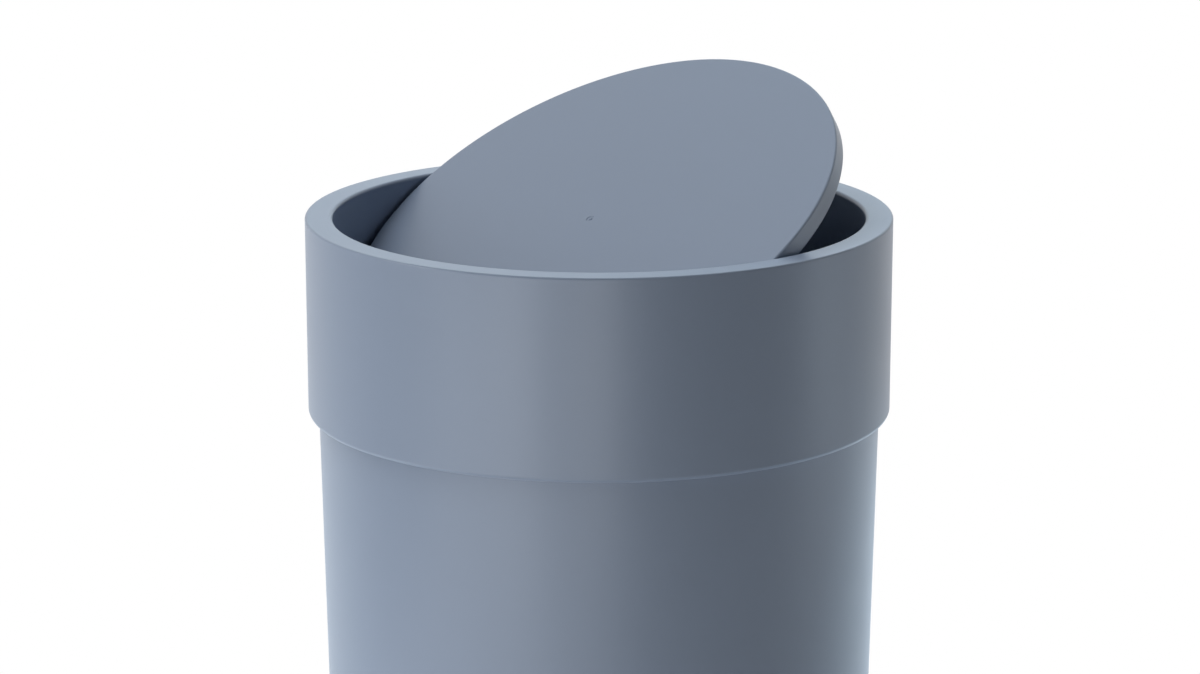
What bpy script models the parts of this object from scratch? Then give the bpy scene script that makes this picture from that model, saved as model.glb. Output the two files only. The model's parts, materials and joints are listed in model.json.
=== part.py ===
# Swing-lid waste can: a tapered bucket, a deep collar that lifts off it, and a weighted
# disc that tilts on two steel pins across the collar's bore.
# Metres, +Z up. The origin is the centre of the underside; the flap's axis runs along X.

import math

import bmesh
import bpy
from mathutils import Matrix

# Sizes of the whole

overall_height = 0.265          # floor to the top of the collar
collar_outer_radius = 0.095     # at the collar's top edge
open_angle = math.radians(30.37)    # the flap stands this far from level, its +Y side up

# Fits

seat_gap = 0.0003       # between pieces that rest on or fit into each other
running_gap = 0.0002    # round a pin that turns in its bush
press_gap = 0.0002      # round a pin that is held in its hole
overrun = 0.001         # how far a cutter runs past the face it cuts
root = 0.0004           # how deep a rib or boss is sunk into the wall it grows from
merge_distance = 0.000001

# Fineness of round shapes

large_segments = 72
small_segments = 20
round_steps = 3

# Collar

collar_height = 0.0644
collar_draft = 0.00022      # the skirt is this much smaller in radius at its lower edge
rim_width = 0.00897         # flat top, from the outer edge to the bore
rim_thickness = 0.0025
rim_outer_round = 0.0007
rim_inner_round = 0.0011
skirt_wall = 0.002
skirt_edge_round = 0.0008
bore_wall = 0.0022
bore_depth = 0.036          # from the rim's top to the bore wall's lower edge
bore_edge_round = 0.0006
rib_count = 12
rib_thickness = 0.0016

# Pivot pins and bushes

pin_radius = 0.0015
pin_chamfer = 0.0003
pin_grip = 0.016            # length held in the flap's ear
bush_radius = 0.0031
bush_flange_radius = 0.005
bush_flange_thickness = 0.0012
bush_cap_length = 0.0015    # closed end, outside the flange
bush_end_wall = 0.0009
bush_nose = 0.0004          # stands proud of the bore wall, towards the flap

# Flap cap

flap_edge = 0.00567         # height of the disc's visible edge
edge_over_pin = 0.00041     # air between the pin and the disc's lower edge
flush_drop = 0.00019        # the level disc lies this far under the rim's top
sweep_gap = 0.00093         # between the bore and the circle that the disc's edge sweeps
flap_draft = 0.00022        # the disc's edge is this much wider at its foot
flap_top_round = 0.0004
flap_foot_round = 0.0003
face_thickness = 0.002
band_wall = 0.0018
ledge_width = 0.0016
gate_radius = 0.0011        # the small moulding mark at the disc's centre
gate_floor_radius = 0.0006
gate_depth = 0.00015
boss_radius = 0.0031
boss_short = 0.0002         # the bosses end this far inside the base's underside
pilot_skin = 0.0012         # left over a screw's hole
post_radius = 0.003         # the two posts that hold the weight down
post_spacing_share = 0.54   # of the weight's length

# Flap base

base_recess = 0.0004        # its underside lies this far inside the disc's edge
base_thickness = 0.0016
base_edge_round = 0.0003
ear_radius = 0.005
ear_length = 0.02
ear_inset = 0.0004          # from the base's rim to the ear's outer face
tub_wall = 0.0016
tub_edge_round = 0.0015
ear_to_tub = 0.01436        # air between an ear and the weight's tub

# Counterweight

weight_width = 0.024
weight_thickness = 0.0055
weight_corner = 0.003
weight_chamfer = 0.0005
weight_clearance = 0.003    # from the pin's underside to the weight's top

# Screws

screw_count = 6
screw_inset = 0.01666       # from the base's rim to a screw's axis
screw_shank_radius = 0.0012
screw_tip_length = 0.0012
screw_tip_radius = 0.0003
screw_flange_radius = 0.0043
screw_flange_thickness = 0.0006
screw_dome_radius = 0.0024
screw_dome_height = 0.0011
screw_recess_length = 0.0026
screw_recess_width = 0.0007
screw_recess_depth = 0.0009

# Bucket

lip_below_bush = 0.00323    # from the bush's flange down to the bucket's lip
lip_play = 0.00054          # between the lip and the skirt
body_slope = 0.022          # radius gained per height
body_wall = 0.002
lip_round = 0.0007
foot_round = 0.003
foot_width = 0.005
foot_height = 0.0025
floor_thickness = 0.0025
floor_corner = 0.005

# Places that follow from the sizes, in the whole's frame

rim_z = overall_height
skirt_z = rim_z - collar_height
bore_radius = collar_outer_radius - rim_width
bore_outer_radius = bore_radius + bore_wall
flap_rise = flap_edge + edge_over_pin + pin_radius
axis_z = rim_z - flush_drop - flap_rise
lip_z = axis_z - bush_flange_radius - lip_below_bush

# The bushes and pins, along X from the middle

bush_inner_x = bore_radius - bush_nose
flange_x = bore_outer_radius + seat_gap
cap_x = flange_x + bush_flange_thickness
bush_outer_x = cap_x + bush_cap_length
bush_hole_x = bush_outer_x - bush_end_wall
pin_outer_x = bush_hole_x - seat_gap

# The flap, in its own frame: level, with the axis at its origin

flap_top_radius = math.sqrt((bore_radius - sweep_gap) ** 2 - flap_rise ** 2)
flap_foot_radius = flap_top_radius + flap_draft
edge_z = flap_rise - flap_edge
ceiling_z = flap_rise - face_thickness
band_inner_radius = flap_top_radius - band_wall
base_z = edge_z + base_recess
base_top_z = base_z + base_thickness
base_radius = band_inner_radius - seat_gap
ear_outer_x = base_radius - ear_inset
ear_inner_x = ear_outer_x - ear_length
pin_inner_x = ear_outer_x - pin_grip
screw_circle_radius = base_radius - screw_inset
weight_length = 2 * (ear_inner_x - ear_to_tub - tub_wall - seat_gap)
weight_top_z = -(pin_radius + weight_clearance)
weight_z = weight_top_z - weight_thickness
tub_cavity_z = weight_z - seat_gap
tub_z = tub_cavity_z - tub_wall
pilot_radius = screw_shank_radius + press_gap
pilot_top_z = flap_rise - pilot_skin


def skirt_outer_radius(z):
    return collar_outer_radius - collar_draft * (rim_z - z) / collar_height


lip_radius = skirt_outer_radius(lip_z) - skirt_wall - lip_play


def body_outer_radius(z):
    return lip_radius - body_slope * (lip_z - z)


# Materials

def material(name, colour, roughness, metallic):
    finish = bpy.data.materials.new(name)
    finish.use_nodes = True
    shader = finish.node_tree.nodes["Principled BSDF"]
    shader.inputs["Base Color"].default_value = (*colour, 1.0)
    shader.inputs["Roughness"].default_value = roughness
    shader.inputs["Metallic"].default_value = metallic
    finish.diffuse_color = (*colour, 1.0)
    return finish


# Outlines

def arc(centre, radius, start, stop, steps=round_steps):
    # Points on a circle, from one angle in degrees to another
    points = []
    for step in range(steps + 1):
        angle = math.radians(start + (stop - start) * step / steps)
        points.append((centre[0] + radius * math.cos(angle), centre[1] + radius * math.sin(angle)))
    return points


def rounded_rectangle(length, width, corner):
    x = length / 2 - corner
    y = width / 2 - corner
    points = []
    for centre, start in (((x, y), 0), ((-x, y), 90), ((-x, -y), 180), ((x, -y), 270)):
        points += arc(centre, corner, start, start + 90)
    return points


# Solids

def finished(name, bm):
    # A closed mesh with its faces out, round stretches smooth and edges crisp
    bmesh.ops.remove_doubles(bm, verts=bm.verts, dist=merge_distance)
    bmesh.ops.recalc_face_normals(bm, faces=bm.faces)
    mesh = bpy.data.meshes.new(name)
    bm.to_mesh(mesh)
    bm.free()
    mesh.shade_smooth()
    mesh.set_sharp_from_angle(angle=math.radians(35))
    piece = bpy.data.objects.new(name, mesh)
    bpy.context.scene.collection.objects.link(piece)
    return piece


def turned(name, outline, segments, closed=True, axis="Z"):
    # Spins an outline of (radius, height) points about Z, or about X with height along X
    bm = bmesh.new()
    verts = []
    for radius, height in outline:
        place = (radius, 0, height) if axis == "Z" else (height, 0, radius)
        verts.append(bm.verts.new(place))
    edges = [bm.edges.new(pair) for pair in zip(verts, verts[1:])]
    if closed:
        edges.append(bm.edges.new((verts[-1], verts[0])))
    bmesh.ops.spin(bm, geom=verts + edges, cent=(0, 0, 0), dvec=(0, 0, 0),
                   axis=(0, 0, 1) if axis == "Z" else (1, 0, 0),
                   angle=2 * math.pi, steps=segments, use_merge=True)
    return finished(name, bm)


def lofted(name, rings):
    # Joins rings of equal point counts, each ((x, y) points, z), and closes both ends
    bm = bmesh.new()
    loops = [[bm.verts.new((x, y, z)) for x, y in points] for points, z in rings]
    for lower, upper in zip(loops, loops[1:]):
        for index in range(len(lower)):
            after = (index + 1) % len(lower)
            bm.faces.new((lower[index], lower[after], upper[after], upper[index]))
    bm.faces.new(loops[0])
    bm.faces.new(loops[-1])
    return finished(name, bm)


def rods(name, places, radius, low, high, segments=small_segments):
    # One upright cylinder at each (x, y), all in one mesh
    bm = bmesh.new()
    for x, y in places:
        made = bmesh.ops.create_cone(bm, cap_ends=True, segments=segments, radius1=radius,
                                     radius2=radius, depth=high - low)
        bmesh.ops.translate(bm, verts=made["verts"], vec=(x, y, (low + high) / 2))
    return finished(name, bm)


def blocks(name, boxes, angles=None):
    # One block for each (low corner, high corner), turned about Z, all in one mesh
    bm = bmesh.new()
    for (low, high), angle in zip(boxes, angles or [0.0] * len(boxes)):
        verts = bmesh.ops.create_cube(bm, size=1)["verts"]
        for vert in verts:
            for axis in range(3):
                vert.co[axis] = high[axis] if vert.co[axis] > 0 else low[axis]
        bmesh.ops.rotate(bm, verts=verts, cent=(0, 0, 0), matrix=Matrix.Rotation(angle, 3, "Z"))
    return finished(name, bm)


def combine(piece, other, operation):
    # Boolean with a helper object, which is left out of the finished part
    step = piece.modifiers.new(other.name, "BOOLEAN")
    step.operation = operation
    step.solver = "EXACT"
    step.object = other
    bpy.context.view_layer.update()
    shaped = piece.evaluated_get(bpy.context.evaluated_depsgraph_get())
    mesh = bpy.data.meshes.new_from_object(shaped)
    piece.modifiers.remove(step)
    piece.data = mesh
    mesh.name = piece.name
    bpy.data.objects.remove(other)
    mesh.shade_smooth()
    mesh.set_sharp_from_angle(angle=math.radians(35))


def ring_angles(count, offset_share=0.0):
    # Angles evenly round a circle; the offset is a share of one pitch
    pitch = 2 * math.pi / count
    return [pitch * (index + offset_share) for index in range(count)]


def screw_places():
    return [(screw_circle_radius * math.cos(angle), screw_circle_radius * math.sin(angle))
            for angle in ring_angles(screw_count, 0.5)]


# Bucket

def make_can_body():
    base_outer = body_outer_radius(0)
    foot_inner = base_outer - foot_round - foot_width
    floor_z = foot_height + floor_thickness
    corner_z = floor_z + floor_corner
    inner_at_corner = body_outer_radius(corner_z) - body_wall
    outline = [(0, foot_height), (foot_inner - foot_height, foot_height), (foot_inner, 0)]
    outline += arc((base_outer - foot_round, foot_round), foot_round, -90, 0)
    outline += arc((lip_radius - lip_round, lip_z - lip_round), lip_round, 0, 90)
    outline += arc((lip_radius - body_wall + lip_round, lip_z - lip_round), lip_round, 90, 180)
    outline += arc((inner_at_corner - floor_corner, corner_z), floor_corner, 0, -90)
    outline.append((0, floor_z))
    return turned("can_body", outline, large_segments, closed=False)


# Collar

def make_collar():
    foot_radius = skirt_outer_radius(skirt_z)
    under_rim = rim_z - rim_thickness
    bore_z = rim_z - bore_depth
    outline = arc((collar_outer_radius - rim_outer_round, rim_z - rim_outer_round),
                  rim_outer_round, 90, 0)
    outline += arc((foot_radius - skirt_edge_round, skirt_z + skirt_edge_round),
                   skirt_edge_round, 0, -90)
    outline.append((foot_radius - skirt_wall, skirt_z))
    outline.append((skirt_outer_radius(under_rim) - skirt_wall, under_rim))
    outline.append((bore_outer_radius, under_rim))
    outline.append((bore_outer_radius, bore_z))
    outline += arc((bore_radius + bore_edge_round, bore_z + bore_edge_round),
                   bore_edge_round, -90, -180)
    outline += arc((bore_radius + rim_inner_round, rim_z - rim_inner_round),
                   rim_inner_round, 180, 90)
    collar = turned("collar", outline, large_segments)

    # Ribs under the rim: the bucket's lip stops against their lower edges
    rib_z = lip_z + seat_gap
    rib_box = ((bore_outer_radius - root, -rib_thickness / 2, rib_z),
               (skirt_outer_radius(rib_z) - skirt_wall + root, rib_thickness / 2, under_rim + root))
    ribs = blocks("ribs", [rib_box] * rib_count, ring_angles(rib_count, 0.5))
    combine(collar, ribs, "UNION")

    # Holes for the bushes, both in one bar across the bore
    hole = bush_radius + seat_gap
    reach = bore_outer_radius + overrun
    inner = bore_radius - overrun
    for name, start, stop in (("right", inner, reach), ("left", -reach, -inner)):
        cutter = turned(name, [(0, start), (hole, start), (hole, stop), (0, stop)],
                        small_segments, closed=False, axis="X")
        cutter.location.z = axis_z
        combine(collar, cutter, "DIFFERENCE")
    return collar


# Bushes and pins

def make_bush(name):
    hole = pin_radius + running_gap
    outline = [(hole, bush_hole_x), (hole, bush_inner_x), (bush_radius, bush_inner_x),
               (bush_radius, flange_x), (bush_flange_radius, flange_x), (bush_flange_radius, cap_x),
               (bush_radius, cap_x), (bush_radius, bush_outer_x), (0, bush_outer_x)]
    return turned(name, [(0, bush_hole_x)] + outline, small_segments, closed=False, axis="X")


def make_pin(name):
    tip = pin_radius - pin_chamfer
    outline = [(0, pin_inner_x), (tip, pin_inner_x), (pin_radius, pin_inner_x + pin_chamfer),
               (pin_radius, pin_outer_x - pin_chamfer), (tip, pin_outer_x), (0, pin_outer_x)]
    return turned(name, outline, small_segments, closed=False, axis="X")


# Flap

def make_flap_cap():
    ledge_z = base_top_z + seat_gap
    ledge_inner = band_inner_radius - ledge_width
    outline = [(0, flap_rise - gate_depth), (gate_floor_radius, flap_rise - gate_depth),
               (gate_radius, flap_rise)]
    outline += arc((flap_top_radius - flap_top_round, flap_rise - flap_top_round),
                   flap_top_round, 90, 0)
    outline += arc((flap_foot_radius - flap_foot_round, edge_z + flap_foot_round),
                   flap_foot_round, 0, -90)
    outline += [(band_inner_radius, edge_z), (band_inner_radius, ledge_z),
                (ledge_inner, ledge_z), (ledge_inner, ceiling_z), (0, ceiling_z)]
    cap = turned("flap_cap", outline, large_segments, closed=False)

    screws = screw_places()
    boss_z = base_z + boss_short
    combine(cap, rods("bosses", screws, boss_radius, boss_z, ceiling_z + root), "UNION")
    post_x = weight_length * post_spacing_share / 2
    posts = [(-post_x, 0), (post_x, 0)]
    post_z = weight_top_z + seat_gap
    combine(cap, rods("posts", posts, post_radius, post_z, ceiling_z + root), "UNION")
    combine(cap, rods("pilots", screws, pilot_radius, boss_z - overrun, pilot_top_z), "DIFFERENCE")
    return cap


def make_flap_base():
    outline = [(0, base_z), (base_radius - base_edge_round, base_z),
               (base_radius, base_z + base_edge_round), (base_radius, base_top_z), (0, base_top_z)]
    base = turned("flap_base", outline, large_segments, closed=False)

    # Tub under the middle for the weight
    cavity_length = weight_length + 2 * seat_gap
    cavity_width = weight_width + 2 * seat_gap
    cavity_corner = weight_corner + seat_gap
    rings = []
    for inset_share, rise_share in ((1, 0), (0.3, 0.3), (0, 1)):
        inset = tub_edge_round * inset_share
        outside = tub_wall - inset
        rings.append((rounded_rectangle(cavity_length + 2 * outside, cavity_width + 2 * outside,
                                        cavity_corner + outside),
                      tub_z + tub_edge_round * rise_share))
    rings.append((rings[-1][0], base_z + root))
    combine(base, lofted("tub", rings), "UNION")

    # Ears that hold the pins: straight sides above a round underside
    ear_top = base_z + root
    side = [(ear_radius, ear_top), *arc((0, 0), ear_radius, 0, -180, 2 * round_steps),
            (-ear_radius, ear_top)]
    for sign in (1, -1):
        ear = lofted("ear", [(side, 0), (side, ear_length)])
        ear.rotation_euler = (math.radians(90), 0, math.radians(90))
        ear.location.x = ear_inner_x if sign > 0 else -ear_outer_x
        combine(base, ear, "UNION")

    cavity = rounded_rectangle(cavity_length, cavity_width, cavity_corner)
    cutter = lofted("cavity", [(cavity, tub_cavity_z), (cavity, base_top_z + overrun)])
    combine(base, cutter, "DIFFERENCE")
    screws = screw_places()
    cutter = rods("boss_holes", screws, boss_radius + seat_gap, base_z - overrun,
                  base_top_z + overrun)
    combine(base, cutter, "DIFFERENCE")
    hole = pin_radius + press_gap
    for start in (ear_inner_x - overrun, -ear_outer_x - overrun):
        stop = start + ear_length + 2 * overrun
        cutter = turned("pin_hole", [(0, start), (hole, start), (hole, stop), (0, stop)],
                        small_segments, closed=False, axis="X")
        combine(base, cutter, "DIFFERENCE")
    return base


def make_counterweight():
    full = rounded_rectangle(weight_length, weight_width, weight_corner)
    small = rounded_rectangle(weight_length - 2 * weight_chamfer, weight_width - 2 * weight_chamfer,
                              weight_corner - weight_chamfer)
    rings = [(small, weight_z), (full, weight_z + weight_chamfer),
             (full, weight_top_z - weight_chamfer), (small, weight_top_z)]
    return lofted("counterweight", rings)


def make_screw(name):
    # Upright, with its flange under the flap's base and its point in the cap
    seat = base_z - seat_gap
    flange_z = seat - screw_flange_thickness
    crown_z = flange_z - screw_dome_height
    tip_z = pilot_top_z - seat_gap
    outline = [(0, crown_z), (screw_dome_radius / 2, crown_z), (screw_dome_radius, flange_z),
               (screw_flange_radius, flange_z), (screw_flange_radius, seat),
               (screw_shank_radius, seat), (screw_shank_radius, tip_z - screw_tip_length),
               (screw_tip_radius, tip_z), (0, tip_z)]
    screw = turned(name, outline, small_segments, closed=False)
    long = screw_recess_length / 2
    thin = screw_recess_width / 2
    low = crown_z - overrun
    high = crown_z + screw_recess_depth
    for across in ((long, thin), (thin, long)):
        x, y = across
        combine(screw, blocks("recess", [((-x, -y, low), (x, y, high))]), "DIFFERENCE")
    return screw


# Assembly

def give(piece, finish, parent=None):
    piece.data.materials.clear()
    piece.data.materials.append(finish)
    if parent:
        piece.parent = parent


def pivot(name, z, tilt):
    holder = bpy.data.objects.new(name, None)
    bpy.context.scene.collection.objects.link(holder)
    holder.location.z = z
    holder.rotation_euler.x = tilt
    return holder


def build():
    for old in list(bpy.data.objects):
        bpy.data.objects.remove(old)

    shell = material("satin_slate_plastic", (0.262, 0.305, 0.376), 0.48, 0.0)
    inner = material("moulded_slate_plastic", (0.235, 0.275, 0.34), 0.55, 0.0)
    bearing = material("white_bearing_plastic", (0.72, 0.72, 0.70), 0.4, 0.0)
    steel = material("bright_steel", (0.62, 0.62, 0.63), 0.28, 1.0)
    weight = material("plated_weight_steel", (0.46, 0.46, 0.47), 0.42, 1.0)

    give(make_can_body(), shell)
    give(make_collar(), shell)
    flap_pivot = pivot("flap_pivot", axis_z, open_angle)
    bush_line = pivot("bush_line", axis_z, 0)
    for name, turn in (("right", 0), ("left", math.pi)):
        bush = make_bush("pivot_bush_" + name)
        bush.rotation_euler.z = turn
        give(bush, bearing, bush_line)
        pin = make_pin("pivot_pin_" + name)
        pin.rotation_euler.z = turn
        give(pin, steel, flap_pivot)

    give(make_flap_cap(), shell, flap_pivot)
    give(make_flap_base(), inner, flap_pivot)
    give(make_counterweight(), weight, flap_pivot)
    for index, (x, y) in enumerate(screw_places()):
        screw = make_screw("flap_screw_" + str(index + 1))
        screw.location = (x, y, 0)
        give(screw, steel, flap_pivot)


build()
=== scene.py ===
import json
import math

import bmesh
import bpy
from mathutils import Matrix, Vector


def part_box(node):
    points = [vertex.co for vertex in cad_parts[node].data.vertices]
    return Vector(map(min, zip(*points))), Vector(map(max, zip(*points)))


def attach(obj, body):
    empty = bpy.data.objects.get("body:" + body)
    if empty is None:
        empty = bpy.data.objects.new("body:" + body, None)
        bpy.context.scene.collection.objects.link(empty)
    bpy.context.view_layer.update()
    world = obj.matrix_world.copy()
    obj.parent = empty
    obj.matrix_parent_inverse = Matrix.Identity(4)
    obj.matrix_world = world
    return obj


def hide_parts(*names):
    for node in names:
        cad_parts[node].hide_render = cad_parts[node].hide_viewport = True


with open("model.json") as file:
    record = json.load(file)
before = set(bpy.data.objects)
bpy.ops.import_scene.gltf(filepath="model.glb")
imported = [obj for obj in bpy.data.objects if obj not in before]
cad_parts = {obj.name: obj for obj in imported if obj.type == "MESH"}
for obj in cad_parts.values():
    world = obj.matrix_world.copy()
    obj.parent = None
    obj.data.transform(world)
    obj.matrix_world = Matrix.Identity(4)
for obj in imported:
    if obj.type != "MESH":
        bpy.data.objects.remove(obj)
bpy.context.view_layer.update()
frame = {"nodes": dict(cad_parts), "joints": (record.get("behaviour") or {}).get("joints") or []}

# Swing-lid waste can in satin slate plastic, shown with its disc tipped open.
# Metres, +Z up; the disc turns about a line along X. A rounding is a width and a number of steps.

print("frame loaded:", len(frame["nodes"]), "nodes")


# Sizes taken from the frame

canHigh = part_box("can_body")[1]
collarLow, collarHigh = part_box("collar")
bushLow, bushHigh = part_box("pivot_bush_right")
pinLow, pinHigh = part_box("pivot_pin_right")

swing = next(joint for joint in frame["joints"] if joint["name"] == "flap_swing")
axisZ = swing["pos_m"][2]
rimZ = collarHigh.z
skirtZ = collarLow.z
collarRadius = collarHigh.x
lipZ = canHigh.z
lipRadius = canHigh.x
pinRadius = (pinHigh.z - pinLow.z) / 2

openAngle = math.radians(30.37)      # the disc stands this far from level
crispAngle = math.radians(32)        # edges that turn further than this stay crisp
flatAngle = math.radians(1)          # faces that meet at less than this are one
faceWeight = 100                     # how strongly large faces are shaded flat
tiny = 0.000001                      # merge distance
ringReach = 0.00002                  # how near an edge is to the ring that it belongs to
overrun = 0.001                      # how far a cutter runs past a face
rodSegments = 48


# Modelling helpers

def startFresh():
    if bpy.context.mode != "OBJECT":
        bpy.ops.object.mode_set(mode="OBJECT")
    bpy.ops.object.select_all(action="DESELECT")


def takeUp(piece):
    # Selects this piece alone and makes it the active one
    startFresh()
    piece.select_set(True)
    bpy.context.view_layer.objects.active = piece


def finishPlace(piece):
    takeUp(piece)
    bpy.ops.object.transform_apply(location=True, rotation=True, scale=True)


def editAll():
    bpy.ops.object.mode_set(mode="EDIT")
    bpy.ops.mesh.select_mode(type="VERT")
    bpy.ops.mesh.select_all(action="SELECT")


def leaveClean():
    # Doubles merged and faces turned out, then back to object mode with crisp corners
    bpy.ops.mesh.select_all(action="SELECT")
    bpy.ops.mesh.remove_doubles(threshold=tiny)
    bpy.ops.mesh.normals_make_consistent(inside=False)
    bpy.ops.object.mode_set(mode="OBJECT")
    bpy.ops.object.shade_smooth_by_angle(angle=crispAngle)


def turnShell(name, rings, segments, capped=True):
    # Starts from a circle and extrudes its edge ring by ring through (radius, height)
    startFresh()
    radius, height = rings[0]
    bpy.ops.mesh.primitive_circle_add(vertices=segments, radius=radius, location=(0, 0, height),
                                      fill_type="NGON" if capped else "NOTHING")
    piece = bpy.context.object
    piece.name = name
    bpy.ops.object.transform_apply(location=True)
    editAll()
    for nextRadius, nextHeight in rings[1:]:
        bpy.ops.mesh.extrude_edges_move(
            TRANSFORM_OT_translate={"value": (0, 0, nextHeight - height)})
        share = nextRadius / radius
        bpy.ops.transform.resize(value=(share, share, 1), center_override=(0, 0, nextHeight))
        radius, height = nextRadius, nextHeight
    if capped:
        bpy.ops.mesh.edge_face_add()
    leaveClean()
    return piece


def addRod(name, radius, low, high, place=(0, 0), segments=rodSegments, along="Z"):
    # A cylinder between two heights, or between two places along X
    startFresh()
    middle = (low + high) / 2
    upright = along == "Z"
    bpy.ops.mesh.primitive_cylinder_add(
        vertices=segments, radius=radius, depth=high - low,
        location=(*place, middle) if upright else (middle, *place),
        rotation=(0, 0, 0) if upright else (0, math.radians(90), 0))
    rod = bpy.context.object
    rod.name = name
    bpy.ops.object.transform_apply(location=True, rotation=True)
    return rod


def addBlock(name, low, high):
    startFresh()
    middle = [(a + b) / 2 for a, b in zip(low, high)]
    bpy.ops.mesh.primitive_cube_add(size=1, location=middle)
    block = bpy.context.object
    block.name = name
    block.scale = [b - a for a, b in zip(low, high)]
    bpy.ops.object.transform_apply(location=True, scale=True)
    return block


def roundEdges(piece, rounding, choose):
    # Bevels the edges that choose() picks by their two ends
    width, steps = rounding
    takeUp(piece)
    bpy.ops.object.mode_set(mode="EDIT")
    bpy.ops.mesh.select_mode(type="EDGE")
    bpy.ops.mesh.select_all(action="DESELECT")
    mesh = bmesh.from_edit_mesh(piece.data)
    for edge in mesh.edges:
        edge.select = choose(edge.verts[0].co, edge.verts[1].co)
    bmesh.update_edit_mesh(piece.data)
    bpy.ops.mesh.bevel(offset=width, offset_type="OFFSET", segments=steps, profile=0.5,
                       affect="EDGES")
    leaveClean()


def roundRing(piece, radius, height, rounding):
    # Bevels the ring of edges at one radius and height
    def onRing(point):
        return (abs(math.hypot(point.x, point.y) - radius) < ringReach
                and abs(point.z - height) < ringReach)

    roundEdges(piece, rounding, lambda a, b: onRing(a) and onRing(b))


def roundFoot(piece, height, rounding):
    # Bevels the edges of the lowest face
    roundEdges(piece, rounding, lambda a, b: max(a.z, b.z) < height + tiny)


def roundedBar(name, x, y, low, high, corner):
    # A block about the middle line, its four upright corners rounded
    bar = addBlock(name, (-x, -y, low), (x, y, high))
    roundEdges(bar, corner, lambda a, b: abs(a.x - b.x) < tiny and abs(a.y - b.y) < tiny)
    return bar


def applyBoolean(piece, other, operation):
    takeUp(piece)
    step = piece.modifiers.new(other.name, "BOOLEAN")
    step.operation = operation
    step.solver = "EXACT"
    step.object = other
    bpy.ops.object.modifier_apply(modifier=step.name)
    bpy.data.objects.remove(other)
    bpy.ops.object.shade_smooth_by_angle(angle=crispAngle)


def addTo(piece, other):
    applyBoolean(piece, other, "UNION")


def cutFrom(piece, other):
    applyBoolean(piece, other, "DIFFERENCE")


def copyPiece(piece, name, place=(0, 0), turn=0):
    # A copy with its own mesh, moved, or turned about the can's middle line
    takeUp(piece)
    bpy.ops.object.duplicate(linked=False)
    copy = bpy.context.object
    copy.name = name
    copy.location = (*place, 0)
    copy.rotation_euler = (0, 0, turn)
    finishPlace(copy)
    return copy


def ringOf(piece, count, first=0.5):
    # Copies round the middle line, joined in one; the first stands this many pitches from X
    pitch = 2 * math.pi / count
    copies = [copyPiece(piece, piece.name, turn=pitch * (index + first)) for index in range(count)]
    bpy.data.objects.remove(piece)
    startFresh()
    for copy in copies:
        copy.select_set(True)
    bpy.context.view_layer.objects.active = copies[0]
    bpy.ops.object.join()
    return copies[0]


def tipOpen(piece):
    # Modelled level about the origin; moved onto the pivot line and tipped as at rest
    piece.matrix_world = Matrix.Translation((0, 0, axisZ)) @ Matrix.Rotation(openAngle, 4, "X")
    finishPlace(piece)


def hand(piece, body, slotName, finish, *nodes):
    # Gives a finished piece its normals, material and body, and hides the nodes that it stands for
    takeUp(piece)
    level = piece.modifiers.new("level", "WEIGHTED_NORMAL")
    level.keep_sharp = True
    level.weight = faceWeight
    bpy.ops.object.modifier_apply(modifier=level.name)
    piece.data.materials.clear()
    piece.data.materials.append(finish)
    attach(piece, body)
    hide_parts(*nodes)


# Shader helpers

class Value:
    # Wraps a socket, so that maths on it can be written as an expression
    def __init__(self, socket):
        self.socket = socket

    def step(self, operation, first, second):
        tree = self.socket.id_data
        node = tree.nodes.new("ShaderNodeMath")
        node.operation = operation
        for slot, term in zip(node.inputs, (first, second)):
            if isinstance(term, Value):
                tree.links.new(term.socket, slot)
            else:
                slot.default_value = term
        return Value(node.outputs[0])

    def __add__(self, other):
        return self.step("ADD", self, other)

    def __radd__(self, other):
        return self.step("ADD", other, self)

    def __sub__(self, other):
        return self.step("SUBTRACT", self, other)

    def __rsub__(self, other):
        return self.step("SUBTRACT", other, self)

    def __mul__(self, other):
        return self.step("MULTIPLY", self, other)

    def __rmul__(self, other):
        return self.step("MULTIPLY", other, self)

    def largest(self, other):
        return self.step("MAXIMUM", self, other)


class Finish:
    # The nodes of one material, or of the world
    def __init__(self, owner):
        self.owner = owner
        owner.use_nodes = True
        self.tree = owner.node_tree
        self.tree.nodes.clear()

    def add(self, kind, settings=None, inputs=None, output=0):
        # Makes a node: settings first, then the values or links of its sockets
        node = self.tree.nodes.new("ShaderNode" + kind)
        for key, setting in (settings or {}).items():
            setattr(node, key, setting)
        for key, term in (inputs or {}).items():
            slot = node.inputs[key]
            if isinstance(term, Value):
                self.tree.links.new(term.socket, slot)
            else:
                slot.default_value = term
        return Value(node.outputs[output]) if node.outputs else None

    def place(self):
        return self.add("TexCoord", output="Object")

    def noise(self, point, scale, detail, rough):
        return self.add("TexNoise", None, {"Vector": point, "Scale": scale, "Detail": detail,
                                           "Roughness": rough})

    def mixColour(self, amount, look):
        # Between the look's two colours, which are inputs 6 and 7 of this node and its output 2
        return self.add("Mix", {"data_type": "RGBA"},
                        {0: amount, 6: look["darker"], 7: look["lighter"]}, 2)

    def rays(self, *kinds):
        # 1 on rays of any of these kinds
        found = [self.add("LightPath", output="Is " + kind + " Ray") for kind in kinds]
        shown = found[0]
        for ray in found[1:]:
            shown = shown.largest(ray)
        return shown

    def close(self, kind, shader):
        self.add(kind, None, {"Surface": shader})
        return self.owner


def colour(red, green, blue):
    return (red, green, blue, 1.0)


# Finishes. Each noise is a scale, its detail and its roughness

noiseMiddle = 0.5              # a noise swings round this

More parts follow.
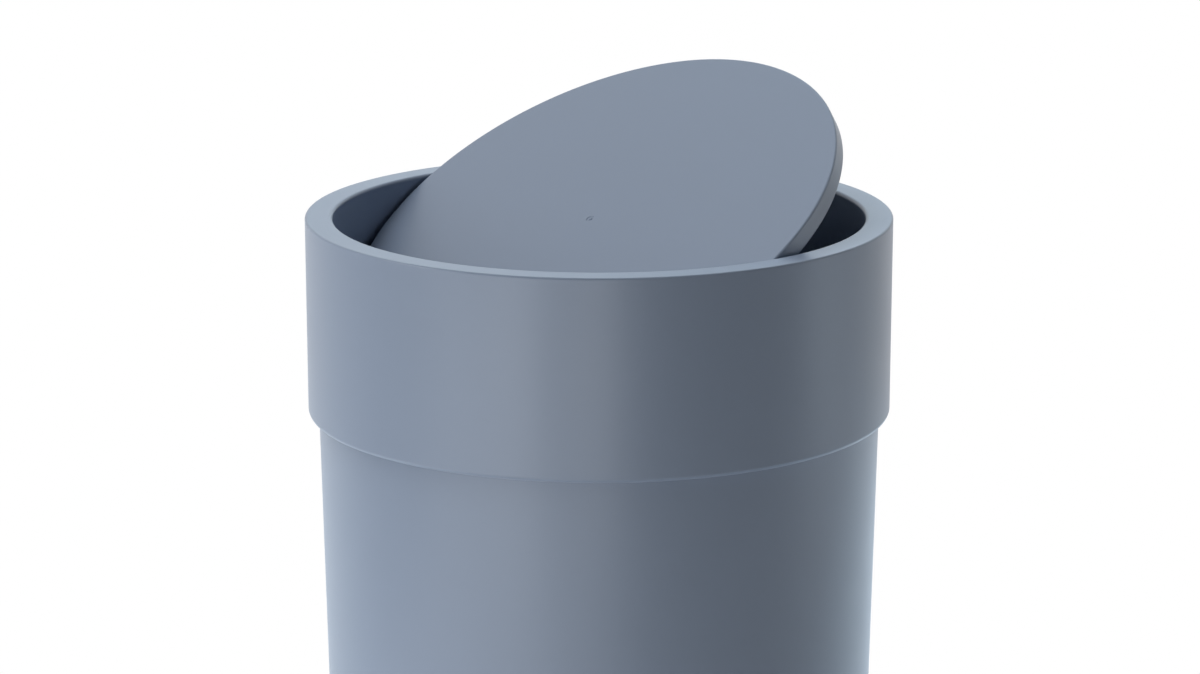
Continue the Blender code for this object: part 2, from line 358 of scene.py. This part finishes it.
shellLook = {
    "darker": colour(0.232, 0.290, 0.390),
    "lighter": colour(0.246, 0.306, 0.412),
    "drift": (9.0, 2.0, 0.5),
    "driftShare": 0.6,         # of the colour's mix; the cloud makes the rest
    "cloud": (55.0, 4.0, 0.6),
    "grain": (2600.0, 2.0, 0.6),
    "grainShare": 0.7,         # of the bump; the pits make the rest
    "pits": (1100.0, 1.0, 0.5),
    "roughness": 0.36,
    "glossDrift": 0.06,
    "glossGrain": 0.06,
    "bumpStrength": 0.35,
    "bumpDepth": 0.00006,
    "ior": 1.49,
    "specular": 0.5,
}

innerLook = dict(shellLook, darker=colour(0.212, 0.264, 0.348), lighter=colour(0.224, 0.279, 0.368),
                 roughness=0.56, grain=(1900.0, 2.0, 0.6), bumpStrength=0.5, bumpDepth=0.0001)

bearingLook = dict(shellLook, darker=colour(0.70, 0.69, 0.66), lighter=colour(0.76, 0.75, 0.73),
                   roughness=0.38, bumpStrength=0.15)


def mouldedPlastic(name, look):
    # Satin plastic from a finely eroded tool: even colour, a fine grain, slow drifts of gloss
    finish = Finish(bpy.data.materials.new(name))
    point = finish.place()
    drift, cloud, grain, pits = (finish.noise(point, *look[key])
                                 for key in ("drift", "cloud", "grain", "pits"))
    tone = drift * look["driftShare"] + cloud * (1 - look["driftShare"])
    gloss = (look["roughness"] + (cloud - noiseMiddle) * look["glossDrift"]
             + (grain - noiseMiddle) * look["glossGrain"])
    height = grain * look["grainShare"] + pits * (1 - look["grainShare"])
    normal = finish.add("Bump", None, {"Height": height, "Strength": look["bumpStrength"],
                                       "Distance": look["bumpDepth"]})
    shader = finish.add("BsdfPrincipled", None, {
        "Base Color": finish.mixColour(tone, look), "Roughness": gloss, "Normal": normal,
        "IOR": look["ior"], "Specular IOR Level": look["specular"]})
    return finish.close("OutputMaterial", shader)


brightLook = {
    "darker": colour(0.56, 0.57, 0.59),
    "lighter": colour(0.68, 0.68, 0.67),
    "lines": (5200.0, 3.0, 0.6),
    "lineStretch": (0.06, 1.0, 1.0),
    "mottle": (420.0, 4.0, 0.6),
    "roughness": 0.28,
    "glossMottle": 0.16,
    "glossLines": 0.1,
    "bumpStrength": 0.4,
    "bumpDepth": 0.00002,
}

weightLook = dict(brightLook, darker=colour(0.36, 0.36, 0.37), lighter=colour(0.47, 0.46, 0.46),
                  roughness=0.42, lines=(2400.0, 3.0, 0.6), mottle=(120.0, 4.0, 0.6))


def plainSteel(name, look):
    # Zinc-plated or rolled steel: fine lines along the piece and a mottled gloss
    finish = Finish(bpy.data.materials.new(name))
    point = finish.place()
    stretched = finish.add("Mapping", None, {"Vector": point, "Scale": look["lineStretch"]})
    lines = finish.noise(stretched, *look["lines"])
    mottle = finish.noise(point, *look["mottle"])
    gloss = (look["roughness"] + (mottle - noiseMiddle) * look["glossMottle"]
             + (lines - noiseMiddle) * look["glossLines"])
    normal = finish.add("Bump", None, {"Height": lines, "Strength": look["bumpStrength"],
                                       "Distance": look["bumpDepth"]})
    shader = finish.add("BsdfPrincipled", None, {
        "Base Color": finish.mixColour(mottle, look), "Roughness": gloss, "Normal": normal,
        "Metallic": 1.0})
    return finish.close("OutputMaterial", shader)


shellPlastic = mouldedPlastic("satinSlateShell", shellLook)
innerPlastic = mouldedPlastic("grainedSlateInner", innerLook)
bearingPlastic = mouldedPlastic("naturalWhiteBearing", bearingLook)
brightSteel = plainSteel("zincPlatedSteel", brightLook)
weightSteel = plainSteel("rolledWeightSteel", weightLook)
print("finishes made")


# Bucket

bucket = {
    "segments": 288,
    "wall": 0.002,
    "slope": 0.022,            # radius gained per height
    "lipRound": (0.0007, 4),
    "footRound": (0.003, 8),
    "footWidth": 0.005,
    "footHeight": 0.0025,
    "floorThickness": 0.0025,
    "floorCorner": (0.005, 8),
    "gateRadius": 0.006,       # recess of the moulding gate, under the floor
    "gateDepth": 0.0005,
}


def bucketRadius(z):
    return lipRadius - bucket["slope"] * (lipZ - z)


def makeBucket():
    foot = bucketRadius(0)
    footInner = foot - bucket["footRound"][0] - bucket["footWidth"]
    floorZ = bucket["footHeight"] + bucket["floorThickness"]
    gate = bucket["gateRadius"]
    gateZ = bucket["footHeight"] + bucket["gateDepth"]
    innerFoot = bucketRadius(floorZ) - bucket["wall"]
    innerLip = lipRadius - bucket["wall"]
    rings = [(gate, gateZ), (gate, bucket["footHeight"]),
             (footInner - bucket["footHeight"], bucket["footHeight"]), (footInner, 0), (foot, 0),
             (lipRadius, lipZ), (innerLip, lipZ), (innerFoot, floorZ), (gate, floorZ)]
    piece = turnShell("bucketShell", rings, bucket["segments"])
    roundRing(piece, foot, 0, bucket["footRound"])
    roundRing(piece, lipRadius, lipZ, bucket["lipRound"])
    roundRing(piece, innerLip, lipZ, bucket["lipRound"])
    roundRing(piece, innerFoot, floorZ, bucket["floorCorner"])
    return piece


hand(makeBucket(), "can", "slate_shell", shellPlastic, "can_body")
print("bucket made")


# Collar

collar = {
    "segments": 288,
    "draft": 0.00022,
    "rimWidth": 0.00897,
    "rimThickness": 0.0025,
    "rimOuterRound": (0.0006, 4),
    "rimInnerRound": (0.0011, 5),
    "skirtWall": 0.002,
    "skirtEdgeRound": (0.0015, 8),
    "skirtInnerRound": (0.0003, 3),
    "boreWall": 0.0022,
    "boreDepth": 0.036,
    "boreEdgeRound": (0.0006, 4),
    "channelFillet": (0.0005, 3),
    "ribCount": 12,
    "ribThickness": 0.0016,
    "ribRoot": 0.0004,
    "fitGap": 0.0003,
    "bushRadius": 0.0031,
    "bushSegments": 64,
}
boreRadius = collarRadius - collar["rimWidth"]
boreOuter = boreRadius + collar["boreWall"]


def skirtRadius(z):
    return collarRadius - collar["draft"] * (rimZ - z) / (rimZ - skirtZ)


def makeCollar():
    wall = collar["skirtWall"]
    underRim = rimZ - collar["rimThickness"]
    boreZ = rimZ - collar["boreDepth"]
    foot = skirtRadius(skirtZ)
    innerTop = skirtRadius(underRim) - wall
    rings = [(collarRadius, rimZ), (foot, skirtZ), (foot - wall, skirtZ), (innerTop, underRim),
             (boreOuter, underRim), (boreOuter, boreZ), (boreRadius, boreZ), (boreRadius, rimZ),
             (collarRadius, rimZ)]
    piece = turnShell("collarRing", rings, collar["segments"], capped=False)
    roundRing(piece, collarRadius, rimZ, collar["rimOuterRound"])
    roundRing(piece, boreRadius, rimZ, collar["rimInnerRound"])
    roundRing(piece, foot, skirtZ, collar["skirtEdgeRound"])
    roundRing(piece, foot - wall, skirtZ, collar["skirtInnerRound"])
    roundRing(piece, boreRadius, boreZ, collar["boreEdgeRound"])
    roundRing(piece, boreOuter, boreZ, collar["boreEdgeRound"])
    roundRing(piece, innerTop, underRim, collar["channelFillet"])
    roundRing(piece, boreOuter, underRim, collar["channelFillet"])

    # Ribs in the channel, which stop against the bucket's lip
    ribZ = lipZ + collar["fitGap"]
    half = collar["ribThickness"] / 2
    root = collar["ribRoot"]
    rib = addBlock("rib", (boreOuter - root, -half, ribZ),
                   (skirtRadius(ribZ) - wall + root, half, underRim + root))
    addTo(piece, ringOf(rib, collar["ribCount"]))

    # Holes for the bushes, each cut by a rod of its own: a turned copy leaves slivers in the bore
    hole = collar["bushRadius"] + collar["fitGap"]
    near, far = boreRadius - overrun, boreOuter + overrun
    for low, high in ((near, far), (-far, -near)):
        cutFrom(piece, addRod("bushHole", hole, low, high, (0, axisZ), collar["bushSegments"], "X"))
    return piece


hand(makeCollar(), "lid", "slate_shell", shellPlastic, "collar")
print("collar made")


# Bushes and pins, turned upright and then laid along X

bush = {
    "flangeRadius": 0.005,
    "flangeThickness": 0.0012,
    "capLength": 0.0015,
    "holeClearance": 0.0002,
    "endWall": 0.0009,
    "edgeRound": (0.00025, 3),
}
pin = {"segments": 48, "endRound": (0.0003, 3)}


def layAlongX(piece):
    piece.rotation_euler = (0, math.radians(90), 0)
    piece.location = (0, 0, axisZ)
    finishPlace(piece)


def makeBush():
    outer = bushHigh.x
    capX = outer - bush["capLength"]
    flangeX = capX - bush["flangeThickness"]
    hole = pinRadius + bush["holeClearance"]
    body = collar["bushRadius"]
    flange = bush["flangeRadius"]
    rings = [(hole, outer - bush["endWall"]), (hole, bushLow.x), (body, bushLow.x), (body, flangeX),
             (flange, flangeX), (flange, capX), (body, capX), (body, outer)]
    piece = turnShell("rightBush", rings, collar["bushSegments"])
    for radius, place in ((body, bushLow.x), (flange, flangeX), (flange, capX), (body, outer)):
        roundRing(piece, radius, place, bush["edgeRound"])
    layAlongX(piece)
    return piece


def makePin():
    rings = [(pinRadius, pinLow.x), (pinRadius, pinHigh.x)]
    piece = turnShell("rightPin", rings, pin["segments"])
    for place in (pinLow.x, pinHigh.x):
        roundRing(piece, pinRadius, place, pin["endRound"])
    layAlongX(piece)
    return piece


rightBush, rightPin = makeBush(), makePin()
leftBush = copyPiece(rightBush, "leftBush", turn=math.pi)
leftPin = copyPiece(rightPin, "leftPin", turn=math.pi)
for word, bushPiece, pinPiece in (("right", rightBush, rightPin), ("left", leftBush, leftPin)):
    hand(bushPiece, "lid", "bearing_plastic", bearingPlastic, "pivot_bush_" + word)
    hand(pinPiece, "flap", "bright_steel", brightSteel, "pivot_pin_" + word)
print("bushes and pins made")


# Disc: cap, base, weight and screws, modelled level with the pivot line at the origin

disc = {
    "segments": 288,
    "edge": 0.00567,           # height of the visible edge
    "overPin": 0.00041,        # air between the pin and the edge's foot
    "sweepGap": 0.00093,       # between the bore and the circle the edge sweeps
    "draft": 0.00022,
    "topRound": (0.0006, 4),
    "footRound": (0.0003, 3),
    "faceThickness": 0.002,
    "bandWall": 0.0018,
    "ledgeWidth": 0.0016,
    "gateRadius": 0.0014,      # dimple round the moulding gate
    "gateDepth": 0.0002,
    "gateStub": 0.0007,        # and the stub left in it
    "gateRise": 0.00006,
    "bossRadius": 0.0031,
    "bossShort": 0.0002,       # the bosses end this far inside the base's underside
    "bossRound": (0.0003, 3),
    "postRadius": 0.003,       # two posts hold the weight down
    "postShare": 0.54,         # of the weight's length, between the posts
    "pilotClearance": 0.0002,
}
discRise = disc["edge"] + disc["overPin"] + pinRadius
discTop = math.sqrt((boreRadius - disc["sweepGap"]) ** 2 - discRise ** 2)
discFoot = discTop + disc["draft"]
discEdgeZ = discRise - disc["edge"]
bandInner = discTop - disc["bandWall"]

plate = {
    "recess": 0.0004,
    "thickness": 0.0016,
    "edgeRound": (0.0003, 3),
    "gap": 0.0003,
    "root": 0.0004,            # how deep an added form stands in the one that carries it
    "earRadius": 0.005,
    "earLength": 0.02,
    "earInset": 0.0004,
    "earSegments": 64,
    "earRound": (0.0006, 3),
    "pinClearance": 0.0002,
    "tubWall": 0.0016,
    "tubRound": (0.0015, 5),
    "tubGap": 0.01436,         # air between an ear and the weight's tub
    "weightWidth": 0.024,
    "weightThickness": 0.0055,
    "weightCorner": 0.003,
    "cornerSteps": 8,
    "weightEdge": (0.0005, 3),
    "weightDrop": 0.003,       # from the pin's underside to the weight's top
    "screwInset": 0.01666,
    "screwHole": 0.0034,
    "ejectorRadius": 0.003,    # faint round marks of the tool's ejector pins
    "ejectorDepth": 0.00012,
    "ejectorCircle": 0.042,
    "ejectorCount": 6,
}
plateZ = discEdgeZ + plate["recess"]
plateTop = plateZ + plate["thickness"]
plateRadius = bandInner - plate["gap"]
earIn = plateRadius - plate["earInset"] - plate["earLength"]
weightX = earIn - plate["tubGap"] - plate["tubWall"] - plate["gap"]
weightY = plate["weightWidth"] / 2
weightTop = -(pinRadius + plate["weightDrop"])
weightZ = weightTop - plate["weightThickness"]

screw = {
    "count": 6,
    "segments": 48,
    "shankRadius": 0.0012,
    "tipLength": 0.0012,
    "tipRadius": 0.0003,
    "flangeRadius": 0.0043,
    "flangeThickness": 0.0006,
    "flangeRound": (0.0002, 3),
    "domeRadius": 0.0024,
    "domeHeight": 0.0011,
    "domeRound": (0.0008, 6),
    "recessLength": 0.0026,
    "recessWidth": 0.0007,
    "recessDepth": 0.0009,
    "skin": 0.0012,            # plastic left over the screw's hole
}
screwCircle = plateRadius - plate["screwInset"]


def makeDiscCap():
    ceiling = discRise - disc["faceThickness"]
    ledge = bandInner - disc["ledgeWidth"]
    ledgeZ = plateTop + plate["gap"]
    gate, dip, stub = disc["gateRadius"], disc["gateDepth"], disc["gateStub"]
    rings = [(ledge, ceiling), (ledge, ledgeZ), (bandInner, ledgeZ), (bandInner, discEdgeZ),
             (discFoot, discEdgeZ), (discTop, discRise), (gate, discRise),
             (gate - dip, discRise - dip), (stub, discRise - dip),
             (stub - dip, discRise + disc["gateRise"])]
    piece = turnShell("discCap", rings, disc["segments"])
    roundRing(piece, discTop, discRise, disc["topRound"])
    roundRing(piece, discFoot, discEdgeZ, disc["footRound"])

    # Inside: bosses for the screws, two posts over the weight, and the screws' pilot holes
    bossZ = plateZ + disc["bossShort"]
    postZ = weightTop + plate["gap"]
    rodTop = ceiling + plate["root"]
    boss = addRod("boss", disc["bossRadius"], bossZ, rodTop, (screwCircle, 0))
    roundFoot(boss, bossZ, disc["bossRound"])
    addTo(piece, ringOf(boss, screw["count"]))
    post = addRod("post", disc["postRadius"], postZ, rodTop, (weightX * disc["postShare"], 0))
    roundFoot(post, postZ, disc["bossRound"])
    addTo(piece, ringOf(post, 2, first=0))
    pilot = addRod("pilot", screw["shankRadius"] + disc["pilotClearance"], bossZ - overrun,
                   discRise - screw["skin"], (screwCircle, 0))
    cutFrom(piece, ringOf(pilot, screw["count"]))
    tipOpen(piece)
    return piece


def makeEar():
    # The lower half of a rod, drawn up into the plate, with a hole for the pin
    far = earIn + plate["earLength"]
    ear = addRod("ear", plate["earRadius"], earIn, far, (0, 0), plate["earSegments"], "X")
    editAll()
    bpy.ops.mesh.bisect(plane_co=(0, 0, 0), plane_no=(0, 0, 1), clear_outer=True, use_fill=True)
    bpy.ops.mesh.select_mode(type="FACE")
    bpy.ops.mesh.extrude_region_move(
        TRANSFORM_OT_translate={"value": (0, 0, plateZ + plate["root"])})
    bpy.ops.mesh.select_all(action="SELECT")
    bpy.ops.mesh.dissolve_limited(angle_limit=flatAngle)      # each end becomes one face
    leaveClean()
    roundEdges(ear, plate["earRound"],
               lambda a, b: abs(a.x - b.x) < tiny and min(a.z, b.z) < plateZ)
    cutFrom(ear, addRod("pinHole", pinRadius + plate["pinClearance"], earIn - overrun,
                        far + overrun, along="X"))
    return ear


def makeDiscBase():
    rings = [(plateRadius, plateZ), (plateRadius, plateTop)]
    piece = turnShell("discBase", rings, disc["segments"])
    roundRing(piece, plateRadius, plateZ, plate["edgeRound"])

    # Tub for the weight, its corners and lower edges rounded
    gap, corner, steps = plate["gap"], plate["weightCorner"], plate["cornerSteps"]
    wall = plate["tubWall"] + gap
    tubZ = weightZ - wall
    tub = roundedBar("tub", weightX + wall, weightY + wall, tubZ, plateZ + plate["root"],
                     (corner + wall, steps))
    roundFoot(tub, tubZ, plate["tubRound"])
    addTo(piece, tub)
    addTo(piece, ringOf(makeEar(), 2, first=0))
    cutFrom(piece, roundedBar("cavity", weightX + gap, weightY + gap, weightZ - gap,
                              plateTop + overrun, (corner + gap, steps)))

    hole = addRod("screwHole", plate["screwHole"], plateZ - overrun, plateTop + overrun,
                  (screwCircle, 0))
    cutFrom(piece, ringOf(hole, screw["count"]))
    mark = addRod("mark", plate["ejectorRadius"], plateZ - overrun,
                  plateZ + plate["ejectorDepth"], (plate["ejectorCircle"], 0))
    cutFrom(piece, ringOf(mark, plate["ejectorCount"]))
    tipOpen(piece)
    return piece


def makeWeight():
    # A cut length of flat bar, its long and cut edges broken
    piece = roundedBar("weightBar", weightX, weightY, weightZ, weightTop,
                       (plate["weightCorner"], plate["cornerSteps"]))
    roundEdges(piece, plate["weightEdge"], lambda a, b: abs(a.z - b.z) < tiny)
    tipOpen(piece)
    return piece


def makeScrew():
    # One screw on the middle line, its head down
    seat = plateZ - plate["gap"]
    flangeZ = seat - screw["flangeThickness"]
    crownZ = flangeZ - screw["domeHeight"]
    tipZ = discRise - screw["skin"] - plate["gap"]
    flange, dome, shank = screw["flangeRadius"], screw["domeRadius"], screw["shankRadius"]
    rings = [(dome, crownZ), (dome, flangeZ), (flange, flangeZ), (flange, seat), (shank, seat),
             (shank, tipZ - screw["tipLength"]), (screw["tipRadius"], tipZ)]
    piece = turnShell("discScrew", rings, screw["segments"])
    roundRing(piece, dome, crownZ, screw["domeRound"])
    roundRing(piece, flange, flangeZ, screw["flangeRound"])
    far, thin = screw["recessLength"] / 2, screw["recessWidth"] / 2
    for wide, slim in ((far, thin), (thin, far)):
        cutFrom(piece, addBlock("slit", (-wide, -slim, crownZ - overrun),
                                (wide, slim, crownZ + screw["recessDepth"])))
    return piece


def placeScrews():
    first = makeScrew()
    for index in range(screw["count"]):
        angle = 2 * math.pi * (index + 0.5) / screw["count"]
        number = str(index + 1)
        piece = copyPiece(first, "discScrew" + number,
                          (screwCircle * math.cos(angle), screwCircle * math.sin(angle)))
        tipOpen(piece)
        hand(piece, "flap", "bright_steel", brightSteel, "flap_screw_" + number)
    bpy.data.objects.remove(first)


hand(makeDiscCap(), "flap", "slate_shell", shellPlastic, "flap_cap")
hand(makeDiscBase(), "flap", "slate_inner", innerPlastic, "flap_base")
placeScrews()
hand(makeWeight(), "flap", "weight_steel", weightSteel, "counterweight")
print("disc made")


# Floor and world

ground = {
    "radius": 6.0,
    "segments": 96,
    "darker": colour(0.80, 0.80, 0.80),
    "lighter": colour(0.84, 0.84, 0.84),
    "speck": (900.0, 2.0, 0.5),
    "shadowReach": 0.15,       # up to here the floor shows the can's shadow
    "whiteReach": 0.31,        # and from here on it is plain white
    "whiteShare": 0.5,         # mixed in where the shadow shows
}
whiteRays = ("Camera", "Glossy", "Transmission")      # to these the surroundings are white


def makeFloor():
    # Shows the can's shadow close by and runs to plain white further off
    startFresh()
    bpy.ops.mesh.primitive_circle_add(vertices=ground["segments"], radius=ground["radius"],
                                      fill_type="NGON")
    floor = bpy.context.object
    floor.name = "paleFloor"
    finish = Finish(bpy.data.materials.new("paleFloor"))
    point = finish.place()
    distance = finish.add("VectorMath", {"operation": "LENGTH"}, {"Vector": point}, "Value")
    far = finish.add("MapRange", {"interpolation_type": "SMOOTHSTEP"},
                     {"Value": distance, "From Min": ground["shadowReach"],
                      "From Max": ground["whiteReach"]})
    near = 1 - far
    shown = finish.rays(*whiteRays) * far + finish.rays("Camera") * near * ground["whiteShare"]
    speck = finish.noise(point, *ground["speck"])
    cloth = finish.add("BsdfDiffuse", None, {"Color": finish.mixColour(speck, ground)})
    white = finish.add("Emission", None, {"Color": colour(1, 1, 1), "Strength": 1.0})
    mixed = finish.add("MixShader", None, {0: shown, 1: cloth, 2: white})
    floor.data.materials.append(finish.close("OutputMaterial", mixed))


def makeWorld():
    # White to the eye and in reflections, but no light from all round
    world = bpy.data.worlds.new("studio")
    bpy.context.scene.world = world
    sky = Finish(world)
    back = sky.add("Background", None, {"Color": colour(1, 1, 1),
                                        "Strength": sky.rays(*whiteRays)})
    sky.close("OutputWorld", back)


# Camera and lights

view = {
    "azimuth": 48.61,          # as seen from above, round the can
    "reach": 1.3213,           # from the can's middle line to the lens, level
    "height": 0.2797,          # of the lens over the rim
    "pitch": 13.651,           # the lens looks down by this many degrees
    "lens": 125.2,
    "sensor": 36.0,
    "shift": 0.0008,
    "nearest": 0.05,           # what the lens can see, from here
    "furthest": 30.0,          # to here
}
viewTurn = math.radians(view["azimuth"])
towardViewer = Vector((math.sin(viewTurn), -math.cos(viewTurn), 0))
viewerRight = Vector((math.cos(viewTurn), math.sin(viewTurn), 0))
upward = Vector((0, 0, 1))

neutral = (1.0, 1.0, 1.0)
cool = (0.65, 1.0, 1.3)
faintCool = (0.88, 1.0, 1.1)

# Each lamp: degrees round from the viewer (left is minus), height angle, width, height, power,
# tint, and its use: all, sheen (in reflections only) or soft (not in reflections)
lamps = {
    "keyLow": (-75, 14, 1.0, 1.6, 20.6, neutral, "all"),
    "keyMiddle": (-90, 38, 1.5, 1.5, 9.0, neutral, "all"),
    "keyHigh": (-90, 64, 1.5, 1.5, 22.6, neutral, "soft"),
    "frontHigh": (-45, 64, 1.5, 1.5, 12.1, neutral, "soft"),
    "backHighLeft": (-135, 64, 1.5, 1.5, 7.7, neutral, "soft"),
    "backMiddle": (180, 38, 1.5, 1.5, 5.2, cool, "all"),
    "backLow": (180, 14, 1.0, 1.6, 1.6, cool, "all"),
    "backLowRight": (165, 14, 1.0, 1.6, 1.9, cool, "all"),
    "sideLowRight": (135, 14, 1.0, 1.6, 2.2, cool, "all"),
    "sheenRight": (92, 2.5, 0.6, 0.7, 4.1, faintCool, "sheen"),
    "sheenOuter": (108, 2.5, 0.6, 0.7, 2.0, faintCool, "sheen"),
}
lampReach = 3.0                # from the collar to each lamp

# Light thrown up by the pale floor: boards that lie on it, each with its degrees round from the
# viewer, where it starts, width, length, radiance, tint and use
boards = {
    "boardFront": (0, 0.12, 0.5, 0.6, 0.1, neutral, "all"),
    "boardLeft": (-45, 0.12, 0.5, 0.6, 0.88, neutral, "all"),
    "boardBackLeft": (-135, 0.12, 0.5, 0.6, 0.26, cool, "all"),
    "boardBackRight": (135, 0.12, 0.5, 0.6, 0.64, cool, "all"),
    "streakFront": (-2, 0.7, 0.3, 2.4, 3.7, neutral, "sheen"),
    "streakInner": (-26, 0.7, 0.3, 2.4, 2.3, neutral, "sheen"),
    "streakMiddle": (-34, 0.7, 0.3, 2.4, 2.9, neutral, "sheen"),
    "streakOuter": (-50, 0.7, 0.3, 2.4, 1.7, neutral, "sheen"),
    "streakLeft": (-58, 0.7, 0.3, 2.4, 1.5, neutral, "sheen"),
    "streakRight": (92, 0.7, 0.3, 2.4, 1.6, faintCool, "sheen"),
}
boardLift = 0.002              # of the first board over the floor
boardStep = 0.0002             # and of each next one over the last


def wayOut(turn):
    # Level direction from the can, in degrees round from the viewer
    turn = math.radians(turn)
    return towardViewer * math.cos(turn) + viewerRight * math.sin(turn)


def addArea(name, width, height, power, tint, place, aim, use):
    data = bpy.data.lights.new(name, "AREA")
    data.shape = "RECTANGLE"
    data.size = width
    data.size_y = height
    data.energy = power
    data.color = tint
    lamp = bpy.data.objects.new(name, data)
    lamp.location = place
    lamp.rotation_euler = aim
    lamp.visible_diffuse = use != "sheen"
    lamp.visible_glossy = use != "soft"
    bpy.context.scene.collection.objects.link(lamp)
    return lamp


def makeLamp(name, turn, rise, width, height, power, tint, use):
    # A lamp that looks at the middle of the collar
    rise = math.radians(rise)
    away = wayOut(turn) * math.cos(rise) + upward * math.sin(rise)
    place = upward * (rimZ + skirtZ) / 2 + away * lampReach
    aim = (-away).to_track_quat("-Z", "Y").to_euler()
    addArea(name, width, height, power, tint, place, aim, use)


def makeBoard(name, turn, near, width, length, radiance, tint, use, lift):
    # A board that faces up and that the camera doesn't see
    away = wayOut(turn)
    place = away * (near + length / 2) + upward * lift
    aim = (math.pi, 0, math.atan2(away.y, away.x) + math.radians(90))
    power = math.pi * width * length * radiance
    board = addArea(name, width, length, power, tint, place, aim, use)
    board.visible_camera = False


def makeCamera():
    data = bpy.data.cameras.new("photoView")
    data.sensor_width = view["sensor"]
    data.lens = view["lens"]
    data.shift_x = view["shift"]
    data.clip_start = view["nearest"]
    data.clip_end = view["furthest"]
    camera = bpy.data.objects.new("photoView", data)
    camera.location = towardViewer * view["reach"] + upward * (rimZ + view["height"])
    camera.rotation_euler = (math.radians(90 - view["pitch"]), 0, viewTurn)
    bpy.context.scene.collection.objects.link(camera)
    bpy.context.scene.camera = camera


makeFloor()
makeWorld()
for name, settings in lamps.items():
    makeLamp(name, *settings)
for index, (name, settings) in enumerate(boards.items()):
    makeBoard(name, *settings, boardLift + boardStep * index)
makeCamera()
bpy.context.scene.view_settings.view_transform = "Standard"
print("stage set")
